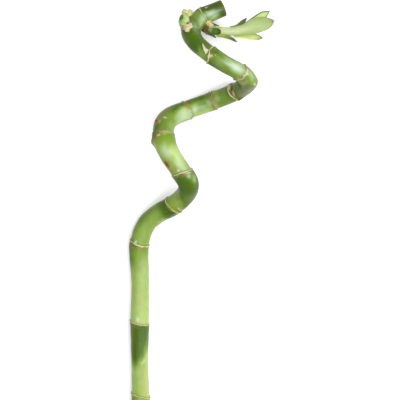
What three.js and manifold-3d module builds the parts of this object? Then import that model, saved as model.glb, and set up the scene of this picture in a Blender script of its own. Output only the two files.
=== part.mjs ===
// Lucky bamboo: one curled cane, cut at both ends and laid down on its back.
// A leafy shoot grows from its last ring and a withered one from the ring before.
// Millimetres. +Z is up, Z = 0 is the surface it lies on, and the cane's foot points to -Y.
import * as THREE from "three";
import Module from "manifold-3d";
import { mergeVertices } from "three/addons/utils/BufferGeometryUtils.js";

const wasm = await Module();
wasm.setup();
// Points closer than this are one point when a body is handed to the boolean library.
const MERGE_DISTANCE = 1e-5;

// Clearance between two pieces that touch.
const GAP = 0.3;
// Thickness of a green blade and of a dry scale.
const BLADE_THICKNESS = 0.8;
const SCALE_THICKNESS = 0.7;

// The cane's centre-line from the foot to the top cut: x, y, z and its radius there.
// The foot is straight and lies flat, then the cane winds towards the top and away from the surface.
const CANE = [
  [-44.5, -148.5, 6.5, 6.2],
  [-44.5, -135, 6.5, 6.3],
  [-44.5, -106, 6.5, 6],
  [-44.5, -78, 6.5, 6.4],
  [-43.5, -48, 6.5, 6.1],
  [-43.5, -19.5, 6.7, 6.5],
  [-38, -4.5, 8, 6.3],
  [-28.5, 3.5, 10.5, 6.3],
  [-18.5, 9.5, 14.5, 6.4],
  [-10, 18.5, 21, 6.2],
  [-8, 27, 29, 6.2],
  [-12.5, 35, 33, 6.5],
  [-20, 46.5, 32.5, 6.6],
  [-24, 58, 27, 6.9],
  [-21.5, 69.5, 16.5, 6.5],
  [-8, 76, 8, 6.2],
  [10, 82.5, 6.5, 6.3],
  [23.5, 88, 12, 6],
  [31.5, 93, 23, 6],
  [26.5, 99, 33, 5.9],
  [16.5, 105, 35.5, 5.7],
  [7, 110.5, 35.5, 5.7],
  [-2.5, 119.5, 31, 5.6],
  [-6, 127.5, 24.5, 5.9],
  [1.5, 136.5, 17, 6],
  [15, 142.5, 15, 5.6],
];
const CANE_SIDES = 20;
// The cane's usual radius, which turns a bud's width into degrees around it.
const CANE_RADIUS = 6.2;
// A loop of the cane's skin reaches no further than this, and turns no more than this.
const LOOP_REACH = 16;
const LOOP_TURN = THREE.MathUtils.degToRad(15);

// Rows of CANE where an old leaf has left its ring: a thin rim on a soft swelling.
const RINGS = [1, 3, 5, 8, 11, 13, 15, 16, 17, 19, 21, 23, 24];
const RIM_RISE = 0.35;
const RIM_FLAT = 0.35;
const RIM_REACH = 0.9;
const SWELL_RISE = 0.25;
const SWELL_REACH = 3;

// Sleeping buds, low bumps on the cane: mm along it, degrees around it, rise and reach.
const BUDS = [
  { along: 127, around: 296, rise: 0.5, reach: 4 },
  { along: 232, around: 332, rise: 1.2, reach: 3.2 },
  { along: 234, around: 146, rise: 0.6, reach: 3 },
  { along: 242.8, around: 24, rise: 0.5, reach: 2.5 },
  { along: 288, around: 28, rise: 0.7, reach: 2.5 },
  { along: 306.8, around: 180, rise: 0.8, reach: 2.5 },
  { along: 319.8, around: 248, rise: 0.9, reach: 3 },
];

// The leafy shoot's stem, from inside the cane outwards: x, y, z and its radius.
const SHOOT_STEM = [
  [2.5, 134, 16.5, 4.2],
  [5, 130.5, 17, 4.4],
  [8.5, 128.5, 17.2, 3.4],
  [12.5, 128, 17.5, 2.7],
  [18, 127.5, 18, 2.5],
  [23, 127.5, 18.3, 2],
  [26.5, 128, 18.5, 1],
];
// The withered shoot's stump on the cane's outer flank: x, y, z and its radius.
const WITHERED_SHOOT = [
  [-9, 129.5, 27.5, 2.6],
  [-9.5, 132, 26.5, 3.2],
  [-9.5, 135, 25, 3],
  [-9, 137.5, 23.5, 2],
];
const SHOOT_SIDES = 16;

// Blades, from root to tip: x, y, z, half the width, and the degrees that they wrap around.
// outward is the side that a blade turns to the open air, away from the shoot that it grows on.
const BLADES = {
  leaf_front: {
    outward: [0, 0.1, 1],
    rows: [
      [22, 127.5, 22, 2.6, 110],
      [28, 129, 22.5, 4, 70],
      [34, 130, 22.5, 5.1, 55],
      [41, 131.5, 21.5, 4.9, 45],
      [45.5, 132.5, 20.5, 3.5, 35],
      [49.5, 134, 20, 0.4, 10],
    ],
  },
  leaf_upper: {
    outward: [-0.1, 0.3, -1],
    rows: [
      [25, 129, 15.2, 2, 70],
      [31.5, 131.5, 16, 3, 50],
      [37, 134.5, 16.5, 3.5, 45],
      [42, 137.5, 17, 2.7, 35],
      [46.5, 140.2, 17.5, 0.4, 10],
    ],
  },
  leaf_lower: {
    outward: [0, -0.4, -1],
    rows: [
      [23.5, 126, 15.5, 2, 70],
      [29.5, 125, 16, 2.4, 50],
      [35, 124.3, 16.2, 2.4, 40],
      [39, 124, 16.5, 1.7, 30],
      [41.5, 123.8, 16.5, 0.4, 10],
    ],
  },
  bract_top: {
    outward: [-0.2, 1, 0.1],
    rows: [
      [20, 130.3, 18, 2.2, 90],
      [23.5, 131, 18.5, 2.2, 80],
      [27, 133, 18.5, 1.4, 50],
      [31, 135.7, 19, 0.4, 10],
    ],
  },
  bract_bottom: {
    outward: [-0.1, -1, 0.2],
    rows: [
      [11, 124.6, 18, 2.2, 80],
      [15.5, 124.3, 18.5, 2.8, 90],
      [19.5, 123.6, 18.5, 2.3, 80],
      [22, 122.5, 18.5, 1.4, 50],
      [24.5, 121, 19, 0.4, 10],
    ],
  },
  shoot_scale_front: {
    outward: [0, 0, 1],
    rows: [
      [8.5, 127.7, 21.6, 2.2, 70],
      [11, 127.5, 21.2, 2.5, 80],
      [12.8, 127.4, 21, 1.9, 60],
      [13.7, 127.4, 20.9, 0.9, 30],
    ],
  },
  shoot_scale_top: {
    outward: [0.3, 1, 0],
    rows: [
      [8.5, 133.2, 17, 2, 60],
      [10.5, 132.1, 17.2, 1.8, 60],
      [13, 131.2, 17.5, 0.4, 10],
    ],
  },
  shoot_scale_low: {
    outward: [-0.3, -1, 0],
    rows: [
      [2, 127.3, 17, 2.2, 60],
      [4.5, 125.9, 17.2, 2, 60],
      [6.8, 124.8, 17.5, 0.4, 10],
    ],
  },
  shoot_scale_low_tip: {
    outward: [-0.3, -1, 0.6],
    rows: [
      [5.8, 125.7, 20, 1.6, 60],
      [8.2, 124.8, 19.6, 1.4, 60],
      [10.3, 123.6, 19.2, 0.4, 10],
    ],
  },
  withered_shoot_scale: {
    outward: [-0.7, 0.2, 0.8],
    rows: [
      [-11.8, 133, 28.9, 1.4, 60],
      [-11.9, 135, 27.7, 1.8, 70],
      [-11.4, 137, 26.3, 1, 30],
    ],
  },
  withered_tip_left: {
    outward: [-0.6, 0.1, 1],
    rows: [
      [-10.2, 138, 24.2, 2, 60],
      [-10.5, 140.5, 23.6, 1.8, 50],
      [-9.8, 143.8, 23, 0.6, 10],
    ],
  },
  withered_tip_right: {
    outward: [0.2, 0.1, 1],
    rows: [
      [-7.4, 137.6, 23.8, 1.5, 50],
      [-6.8, 139.6, 23, 1.5, 50],
      [-6.2, 142, 22.2, 0.4, 10],
    ],
  },
};

// Dry scraps of leaf sheath left on the cane: mm along it, degrees around it, half the width.
const SCRAPS = {
  sheath_scrap_bend: [
    [372.6, 212, 2.2],
    [374.8, 224, 2.4],
    [377, 238, 1.5],
  ],
  sheath_scrap_tooth: [
    [354.9, 206, 1.8],
    [358, 216, 1],
    [361.8, 230, 0.4],
  ],
};

const vector = (row) => new THREE.Vector3(row[0], row[1], row[2]);

// One column of hand-chosen rows, read smoothly at t from 0 to 1.
function smoothColumn(rows, column, t) {
  const last = rows.length - 1;
  const row = Math.min(Math.floor(t * last), last - 1);
  const f = t * last - row;
  const value = (index) => rows[THREE.MathUtils.clamp(index, 0, last)][column];
  const slopeStart = (value(row + 1) - value(row - 1)) / 2;
  const slopeEnd = (value(row + 2) - value(row)) / 2;
  const rise = value(row + 1) - value(row);
  const square = 3 * rise - 2 * slopeStart - slopeEnd;
  const cube = slopeStart + slopeEnd - 2 * rise;
  return value(row) + slopeStart * f + square * f * f + cube * f * f * f;
}

// A round stem's route: places measured along it, each with a frame that doesn't twist.
class Route {
  static STEPS_PER_ROW = 80;

  constructor(rows) {
    this.curve = new THREE.CatmullRomCurve3(rows.map(vector), false, "centripetal");
    const steps = (rows.length - 1) * Route.STEPS_PER_ROW;
    this.samples = [];
    let along = 0;
    let up = new THREE.Vector3(0, 0, 1);
    for (let step = 0; step <= steps; step += 1) {
      const t = step / steps;
      const centre = this.curve.getPoint(t);
      if (step > 0) along += centre.distanceTo(this.samples[step - 1].centre);
      const tangent = this.curve.getTangent(t);
      up = up.clone().addScaledVector(tangent, -up.dot(tangent)).normalize();
      this.samples.push({ along, centre, tangent, up, radius: smoothColumn(rows, 3, t) });
    }
    this.length = along;
  }

  rowAlong(row) {
    return this.samples[row * Route.STEPS_PER_ROW].along;
  }

  at(along) {
    let low = 0;
    let high = this.samples.length - 1;
    while (high - low > 1) {
      const middle = (low + high) >> 1;
      if (this.samples[middle].along > along) high = middle;
      else low = middle;
    }
    const [a, b] = [this.samples[low], this.samples[high]];
    const f = THREE.MathUtils.clamp((along - a.along) / (b.along - a.along), 0, 1);
    const tangent = a.tangent.clone().lerp(b.tangent, f).normalize();
    const up = a.up.clone().lerp(b.up, f).normalize();
    return {
      centre: a.centre.clone().lerp(b.centre, f),
      tangent,
      up,
      side: new THREE.Vector3().crossVectors(tangent, up),
      radius: THREE.MathUtils.lerp(a.radius, b.radius, f),
    };
  }

  turnBetween(start, end) {
    let turn = 0;
    let before = this.at(start).tangent;
    for (const sample of this.samples) {
      if (sample.along <= start || sample.along > end) continue;
      turn += before.angleTo(sample.tangent);
      before = sample.tangent;
    }
    return turn;
  }

  // Places of the skin's loops: the given ones, and as many between them as the bends need.
  loopPlaces(given) {
    const fixed = [0, ...given, this.length].sort((a, b) => a - b);
    const places = [0];
    for (let index = 1; index < fixed.length; index += 1) {
      const [start, end] = [fixed[index - 1], fixed[index]];
      const byReach = (end - start) / LOOP_REACH;
      const byTurn = this.turnBetween(start, end) / LOOP_TURN;
      const count = Math.ceil(Math.max(byReach, byTurn, 1));
      for (let part = 1; part <= count; part += 1) places.push(start + ((end - start) * part) / count);
    }
    return places;
  }

  // A point on the skin, lifted off it, with relief(along, degrees) as added radius.
  onSkin(along, degrees, lift, relief) {
    const { centre, up, side, radius } = this.at(along);
    const angle = THREE.MathUtils.degToRad(degrees);
    const reach = radius + lift + relief(along, degrees);
    return centre.addScaledVector(up, reach * Math.cos(angle)).addScaledVector(side, reach * Math.sin(angle));
  }
}

const noRelief = () => 0;
const cane = new Route(CANE);
const ringPlaces = RINGS.map((row) => cane.rowAlong(row));

// How far the cane's skin stands out at its rings and buds.
function caneRelief(along, degrees) {
  let rise = 0;
  for (const place of ringPlaces) {
    const away = Math.abs(along - place);
    rise += SWELL_RISE * Math.exp(-((away / SWELL_REACH) ** 2));
    rise += RIM_RISE * THREE.MathUtils.clamp((RIM_REACH - away) / (RIM_REACH - RIM_FLAT), 0, 1);
  }
  for (const bud of BUDS) {
    const turn = THREE.MathUtils.euclideanModulo(degrees - bud.around + 180, 360) - 180;
    const across = THREE.MathUtils.degToRad(turn) * CANE_RADIUS;
    const away = Math.hypot(along - bud.along, across) / bud.reach;
    rise += bud.rise * Math.exp(-(away ** 2));
  }
  return rise;
}

// A closed body from a list of triangles over points, its faces turned outwards.
function closedBody(points, triangles) {
  const corner = (index) => points[index];
  let volume = 0;
  for (const [a, b, c] of triangles) volume += corner(a).dot(corner(b).clone().cross(corner(c)));
  const facing = volume < 0 ? triangles.map(([a, b, c]) => [a, c, b]) : triangles;
  const geometry = new THREE.BufferGeometry();
  const numbers = points.flatMap((point) => [point.x, point.y, point.z]);
  geometry.setAttribute("position", new THREE.Float32BufferAttribute(numbers, 3));
  geometry.setIndex(facing.flat());
  return geometry;
}

// A round stem's body: loops of skin along its route and a flat cut at each end.
function stemBody(route, sides, { places, lift = 0, relief = noRelief, floor = -Infinity }) {
  const points = [];
  const triangles = [];
  for (const along of places) {
    for (let side = 0; side < sides; side += 1) {
      const point = route.onSkin(along, (side * 360) / sides, lift, relief);
      point.z = Math.max(point.z, floor);
      points.push(point);
    }
  }
  for (let loop = 0; loop < places.length - 1; loop += 1) {
    for (let side = 0; side < sides; side += 1) {
      const next = (side + 1) % sides;
      const [a, b] = [loop * sides + side, loop * sides + next];
      triangles.push([a, b, b + sides], [a, b + sides, a + sides]);
    }
  }
  const lastLoop = (places.length - 1) * sides;
  const foot = points.push(route.at(0).centre) - 1;
  const top = points.push(route.at(route.length).centre) - 1;
  for (let side = 0; side < sides; side += 1) {
    const next = (side + 1) % sides;
    triangles.push([foot, next, side], [top, lastLoop + side, lastLoop + next]);
  }
  return closedBody(points, triangles);
}

// A thin closed body between two equal grids of points, an outer face and an inner one.
function sheetBody(outer, inner) {
  const rows = outer.length;
  const columns = outer[0].length;
  const points = [...outer.flat(), ...inner.flat()];
  const innerStart = rows * columns;
  const triangles = [];
  for (let row = 0; row < rows - 1; row += 1) {
    for (let column = 0; column < columns - 1; column += 1) {
      const a = row * columns + column;
      const [b, c, d] = [a + 1, a + 1 + columns, a + columns];
      triangles.push([a, b, c], [a, c, d]);
      const [e, f, g, h] = [a, b, c, d].map((index) => index + innerStart);
      triangles.push([e, g, f], [e, h, g]);
    }
  }
  const edge = [];
  for (let column = 0; column < columns; column += 1) edge.push(column);
  for (let row = 1; row < rows; row += 1) edge.push(row * columns + columns - 1);
  for (let column = columns - 2; column >= 0; column -= 1) edge.push((rows - 1) * columns + column);
  for (let row = rows - 2; row > 0; row -= 1) edge.push(row * columns);
  edge.forEach((here, index) => {
    const next = edge[(index + 1) % edge.length];
    triangles.push([next, here, here + innerStart], [next, here + innerStart, next + innerStart]);
  });
  return closedBody(points, triangles);
}

// A leaf, bract or scale: a strip along its midrib, curled away from its outward side.
// grown makes it that much larger all round, for the room that its neighbours keep clear of.
function bladeBody({ rows, outward }, grown = 0) {
  const STEPS_PER_ROW = 3;
  const ACROSS = 6;
  const midrib = new THREE.CatmullRomCurve3(rows.map(vector), false, "centripetal");
  const steps = (rows.length - 1) * STEPS_PER_ROW;
  const outer = [];
  const inner = [];
  for (let step = 0; step <= steps; step += 1) {
    const t = step / steps;
    const tangent = midrib.getTangent(t);
    const away = vector(outward);
    away.addScaledVector(tangent, -away.dot(tangent)).normalize();
    const side = new THREE.Vector3().crossVectors(tangent, away);
    const halfWidth = smoothColumn(rows, 3, t) + grown;
    const halfWrap = THREE.MathUtils.degToRad(smoothColumn(rows, 4, t)) / 2;
    const bend = halfWidth / halfWrap;
    const axis = midrib.getPoint(t).addScaledVector(away, -bend);
    const ring = (radius) => {
      const points = [];
      for (let column = 0; column <= ACROSS; column += 1) {
        const angle = halfWrap * ((2 * column) / ACROSS - 1);
        const point = axis.clone().addScaledVector(away, radius * Math.cos(angle));
        points.push(point.addScaledVector(side, radius * Math.sin(angle)));
      }
      return points;
    };
    outer.push(ring(bend + BLADE_THICKNESS / 2 + grown));
    inner.push(ring(bend - BLADE_THICKNESS / 2 - grown));
  }
  return sheetBody(outer, inner);
}

// A dry scrap that hugs the cane's skin, from lift to lift above it.
function scrapBody(rows, inside, outside) {
  const STEPS_PER_ROW = 3;
  const ACROSS = 4;
  const steps = (rows.length - 1) * STEPS_PER_ROW;
  const face = (lift) => {
    const grid = [];
    for (let step = 0; step <= steps; step += 1) {
      const t = step / steps;
      const [along, around, halfWidth] = [0, 1, 2].map((column) => smoothColumn(rows, column, t));
      const halfTurn = THREE.MathUtils.radToDeg(halfWidth / cane.at(along).radius);
      const points = [];
      for (let column = 0; column <= ACROSS; column += 1) {
        const degrees = around + halfTurn * ((2 * column) / ACROSS - 1);
        points.push(cane.onSkin(along, degrees, lift, caneRelief));
      }
      grid.push(points);
    }
    return grid;
  };
  return sheetBody(face(outside), face(inside));
}

function toSolid(geometry) {
  const bare = geometry.clone();
  bare.deleteAttribute("normal");
  bare.deleteAttribute("uv");
  const merged = mergeVertices(bare, MERGE_DISTANCE);
  return new wasm.Manifold(
    new wasm.Mesh({
      numProp: 3,
      vertProperties: Float32Array.from(merged.getAttribute("position").array),
      triVerts: Uint32Array.from(merged.getIndex().array),
    }),
  );
}

// Back to a geometry, keeping the largest body where a cut has left a crumb.
function toGeometry(solid) {
  const bodies = solid.decompose().sort((a, b) => b.volume() - a.volume());
  const mesh = bodies[0].getMesh();
  const geometry = new THREE.BufferGeometry();
  geometry.setAttribute("position", new THREE.BufferAttribute(Float32Array.from(mesh.vertProperties), 3));
  geometry.setIndex(new THREE.BufferAttribute(Uint32Array.from(mesh.triVerts), 1));
  return geometry;
}

function cutBy(geometry, cutters) {
  return toGeometry(cutters.reduce((solid, cutter) => solid.subtract(cutter), toSolid(geometry)));
}

// Loops of skin that each ring needs, either side of its middle.
const RING_LOOPS = [-SWELL_REACH, -RIM_REACH, -RIM_FLAT, RIM_FLAT, RIM_REACH, SWELL_REACH];
const ringLoopPlaces = ringPlaces.flatMap((place) => RING_LOOPS.map((step) => place + step));
const caneSkin = { places: cane.loopPlaces(ringLoopPlaces), relief: caneRelief };

// What each piece is made of, for its colour and its gloss.
const FINISHES = {
  waxy_cane: { color: 0x6f9a3a, roughness: 0.4 },
  young_leaf: { color: 0xbfd687, roughness: 0.5 },
  dark_scale: { color: 0x4a7a2c, roughness: 0.5 },
  brown_scale: { color: 0x5a4a24, roughness: 0.8 },
  dry_sheath: { color: 0xe4dcae, roughness: 0.8 },
};
const BLADE_FINISHES = {
  shoot_scale_front: "dark_scale",
  shoot_scale_top: "brown_scale",
  shoot_scale_low: "brown_scale",
  shoot_scale_low_tip: "brown_scale",
  withered_shoot_scale: "dark_scale",
  withered_tip_left: "dry_sheath",
  withered_tip_right: "dry_sheath",
};

const luckyBamboo = new THREE.Group();

function addPiece(name, geometry, finish) {
  geometry.computeVertexNormals();
  const material = new THREE.MeshStandardMaterial({ ...FINISHES[finish], metalness: 0 });
  const mesh = new THREE.Mesh(geometry, material);
  mesh.name = name;
  luckyBamboo.add(mesh);
}

// The cane is pressed flat by a hair where it lies on the surface.
addPiece("cane", stemBody(cane, CANE_SIDES, { ...caneSkin, floor: 0 }), "waxy_cane");

// Each finished piece leaves its room here, itself and the clearance around it.
const rooms = [toSolid(stemBody(cane, CANE_SIDES, { ...caneSkin, lift: GAP }))];

// A scrap's room also reaches out past the stump that it lies against.
const SCRAP_ROOM_REACH = 8;
const scrapRooms = [];
for (const [name, rows] of Object.entries(SCRAPS)) {
  addPiece(name, scrapBody(rows, GAP, GAP + SCALE_THICKNESS), "dry_sheath");
  scrapRooms.push(toSolid(scrapBody(rows, 0, SCRAP_ROOM_REACH)));
}

for (const [name, rows] of Object.entries({ shoot_stem: SHOOT_STEM, withered_shoot: WITHERED_SHOOT })) {
  const route = new Route(rows);
  const skin = { places: route.loopPlaces([]) };
  addPiece(name, cutBy(stemBody(route, SHOOT_SIDES, skin), [...rooms, ...scrapRooms]), "young_leaf");
  rooms.push(toSolid(stemBody(route, SHOOT_SIDES, { ...skin, lift: GAP })));
}

for (const [name, blade] of Object.entries(BLADES)) {
  addPiece(name, cutBy(bladeBody(blade), rooms), BLADE_FINISHES[name] ?? "young_leaf");
  rooms.push(toSolid(bladeBody(blade, GAP)));
}

export default luckyBamboo;
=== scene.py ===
"""Lucky bamboo: one curled cane laid down on its back, with a leafy shoot and a withered one.

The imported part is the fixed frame: each piece here stands for one of the part's nodes and keeps
its form. Sizes are in millimetres, and become metres where a thing is put in the scene.
"""

import math

import bpy
import numpy as np
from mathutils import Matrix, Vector


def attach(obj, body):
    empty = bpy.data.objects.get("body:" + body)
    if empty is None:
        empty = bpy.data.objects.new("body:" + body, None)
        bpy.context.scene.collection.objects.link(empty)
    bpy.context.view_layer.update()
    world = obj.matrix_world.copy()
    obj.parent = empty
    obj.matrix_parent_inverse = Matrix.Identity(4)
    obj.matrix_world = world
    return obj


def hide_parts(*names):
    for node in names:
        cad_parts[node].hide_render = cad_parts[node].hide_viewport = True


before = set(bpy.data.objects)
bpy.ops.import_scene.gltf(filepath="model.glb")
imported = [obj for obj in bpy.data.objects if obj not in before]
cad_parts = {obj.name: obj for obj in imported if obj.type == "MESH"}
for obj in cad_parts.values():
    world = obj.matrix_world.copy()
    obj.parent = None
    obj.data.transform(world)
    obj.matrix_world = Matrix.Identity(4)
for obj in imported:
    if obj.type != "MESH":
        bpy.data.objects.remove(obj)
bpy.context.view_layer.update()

MM = 0.001
BODY = "root"

# Camera: it looks down on the cane, leaning a little towards the cane's top.
CAMERA_LENS = 54
SENSOR_WIDTH = 36
CAMERA_TARGET = (0, 13.5, 14)
CAMERA_DISTANCE = 420
CAMERA_LEAN = 8.3


def make_camera():
    lean = math.radians(CAMERA_LEAN)
    data = bpy.data.cameras.new("camera")
    data.lens = CAMERA_LENS
    data.sensor_width = SENSOR_WIDTH
    camera = bpy.data.objects.new("camera", data)
    towards = Vector((0, math.sin(lean), math.cos(lean)))
    camera.location = (Vector(CAMERA_TARGET) + CAMERA_DISTANCE * towards) * MM
    camera.rotation_euler = (-lean, 0, 0)
    bpy.context.scene.collection.objects.link(camera)
    bpy.context.scene.camera = camera


make_camera()

# The cane's centre-line from the foot to the top cut: x, y, z and its radius. It keeps within
# a millimetre of the part's, nearer to the real outline.
CANE = [
    (-44.5, -148.5, 6.7, 6.5),
    (-44.35, -135, 6.7, 6.45),
    (-44.6, -106, 6.7, 6.25),
    (-44.2, -78, 6.8, 6.65),
    (-43.4, -48, 6.7, 6.4),
    (-43.5, -19.5, 6.9, 6.75),
    (-38, -4.5, 8, 6.6),
    (-28.7, 3.8, 10.5, 6.7),
    (-18.7, 9.8, 14.5, 6.75),
    (-9.8, 18.5, 21, 6.75),
    (-7.75, 27, 29, 6.85),
    (-12.2, 35.1, 33, 6.7),
    (-19.8, 46.5, 32.5, 6.7),
    (-24.4, 58, 27, 7.05),
    (-22.3, 69, 16.5, 6.9),
    (-8, 76, 8, 6.2),
    (10, 82.3, 6.6, 6),
    (23.5, 87.9, 12, 5.75),
    (31.5, 93.3, 23, 6),
    (26.95, 99.15, 33, 5.6),
    (16.35, 104.8, 35.5, 5.2),
    (7.05, 110.55, 35.5, 5.25),
    (-2.95, 119.3, 31, 5.45),
    (-6, 127.4, 24.5, 5.75),
    (1.3, 136.8, 17, 5.6),
    (15.3, 143.1, 15, 5.65),
]
# The cane's usual radius, which turns millimetres across its skin into degrees around it.
CANE_RADIUS = 6.2
CANE_SIDES = 104

# The ring that each old leaf has left: the row of CANE where it is, and how far its line lies
# from there. Its lean goes once round the cane and its wave twice, each by how many mm and most
# at how many degrees. width is half the line's, more by a share towards a side, as vary says.
# second is how far on a second line runs. fresh is how green its cork still is. cream and brown,
# which is below and above the line, say how strongly those tones show.
RINGS = [
    dict(row=1, shift=1.1, lean=(2, 274), wave=(0.8, 0), width=0.3, vary=(0.2, 330),
         fresh=0.9, cream=1, brown=(0.15, 0)),
    dict(row=3, shift=0, lean=(1.6, 278), wave=(0.2, 31), width=0.34, vary=(0.2, 20),
         fresh=0.5, cream=1, brown=(0.5, 0)),
    dict(row=5, shift=1, lean=(0.9, 261), wave=(0.3, 106), width=0.5, vary=(0.6, 50),
         fresh=0.9, cream=1, brown=(0.4, 0)),
    dict(row=8, shift=0.6, lean=(1.3, 81), wave=(0.2, 8), width=0.26, vary=(0, 0),
         fresh=1, cream=0.9, brown=(0, 0.2)),
    dict(row=11, shift=-0.1, lean=(2, 339), wave=(0.4, 66), width=0.36, vary=(0.3, 110),
         fresh=0.2, cream=1, brown=(0.4, 0)),
    dict(row=13, shift=0.6, lean=(0.7, 320), wave=(0.5, 335), width=0.2, vary=(0.2, 90),
         second=-1.2, fresh=0.2, cream=0.6, brown=(0.35, 0.2)),
    dict(row=15, shift=-0.7, lean=(0.8, 179), wave=(0.7, 118), width=0.26, vary=(0, 0),
         fresh=0.1, cream=0.6, brown=(0.35, 0.3)),
    dict(row=16, shift=-0.9, lean=(0.7, 171), wave=(0.4, 48), width=0.26, vary=(0, 0),
         second=2.4, fresh=0.4, cream=0.15, brown=(0.6, 0.5)),
    dict(row=17, shift=0.4, lean=(0.7, 220), wave=(0.7, 172), width=0.45, vary=(0.4, 60),
         fresh=0, cream=1, brown=(0, 0.6)),
    dict(row=19, shift=1.3, lean=(0.4, 78), wave=(0.6, 98), width=0.3, vary=(0.4, 170),
         fresh=0.4, cream=0.6, brown=(0.2, 0.35)),
    dict(row=21, shift=0, lean=(0.7, 264), wave=(0.8, 66), width=0.4, vary=(0.5, 180),
         fresh=0.1, cream=1, brown=(0.5, 0.4)),
    dict(row=23, shift=-1, lean=(2, 76), wave=(0.8, 160), width=0.3, vary=(0, 0),
         fresh=0.3, cream=0.5, brown=(0.4, 0.5)),
    dict(row=24, shift=0.2, lean=(2, 161), wave=(1.3, 153), width=0.36, vary=(0.3, 320),
         fresh=0.9, cream=1, brown=(0, 0.2)),
]
RING_WANDER = 0.13
RIM_RISE = 0.35
RIM_UNEVEN = 0.3
# A ring's stripe fades out between these shares of its half width.
STRIPE_FADE = (0.5, 1.25)
SECOND_SHARE = 0.65
GROOVE_DEPTH = 0.14
GROOVE_WIDTH = 0.35
# The cane swells towards a ring from below, and starts again thinner above it.
SWELL_RISE = 0.5
SWELL_REACH = 12
SWELL_END = (-0.3, 0.9)
STAIN_WIDTH = 0.5
SHADOW_TONE = 0.16
TAN_WIDTH = 0.9
TAN_TONE = 0.3
FRESH_REACH = 2
# The rind is darker and more olive next to the top's cut.
NEAR_CUT_REACH = 0.8
NEAR_CUT_TONE = 0.5
# How far from a ring the skin's loops still follow its lean.
RING_PULL = 7
# The skin's slow unevenness: mm of rise, radians for each mm along, and waves around.
UNEVENNESS = [(0.05, 0.21, 2), (0.04, 0.57, -3)]

# Loops of the cane's skin: close together at a ring, and further apart between.
FINE_STEP = 0.12
FINE_REACH = 1.6
COARSE_STEP = 0.9

# Sleeping buds, near the part's: mm along the cane, degrees around it, rise and reach.
BUDS = [
    (127, 296, 0.3, 4),
    (231.7, 330, 1.4, 2),
    (230.7, 146, 0.5, 2.6),
    (242.1, 24, 0.5, 2.5),
    (287.6, 28, 0.7, 2.5),
    (306.7, 180, 0.8, 2.5),
    (319.8, 248, 0.9, 3),
]

# How pale each stretch between two rings is, from 0 for deep green to 1 for lime white:
# just above its lower ring, in its middle, and just below its upper ring.
STRETCH_TONES = [
    (0.58, 0.58, 0.58),
    (0.68, 0.63, 0.58),
    (0.73, 0.665, 0.45),
    (0.54, 0.55, 0.5),
    (0.48, 0.47, 0.5),
    (0.55, 0.6, 0.37),
    (0.42, 0.46, 0.5),
    (0.6, 0.42, 0.43),
    (0.45, 0.4, 0.34),
    (0.32, 0.32, 0.36),
    (0.5, 0.44, 0.36),
    (0.42, 0.15, 0.18),
    (0.3, 0.42, 0.42),
    (0.36, 0.28, 0.2),
]

# Where a leaf's sheath used to end, the skin beyond has another tone up to the row until. Its
# edge lies at along, leans as a ring does, and rises both ways from a point: mm and degrees.
SHEATH_EDGES = [
    dict(along=39, lean=(0, 0), point=(14, 328), soft=17, until=3, change=-0.43),
    dict(along=163, lean=(0, 0), point=(0, 0), soft=11, until=8, change=-0.42),
    dict(along=184.6, lean=(7, 270), point=(0, 0), soft=6, until=11, change=-0.32),
    dict(along=253.1, lean=(-5, 150), point=(0, 0), soft=12, until=15, change=0.12),
    dict(along=324.7, lean=(6, 96), point=(0, 0), soft=3.5, until=19, change=0.14),
]
EDGE_WANDER = 0.5
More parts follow.
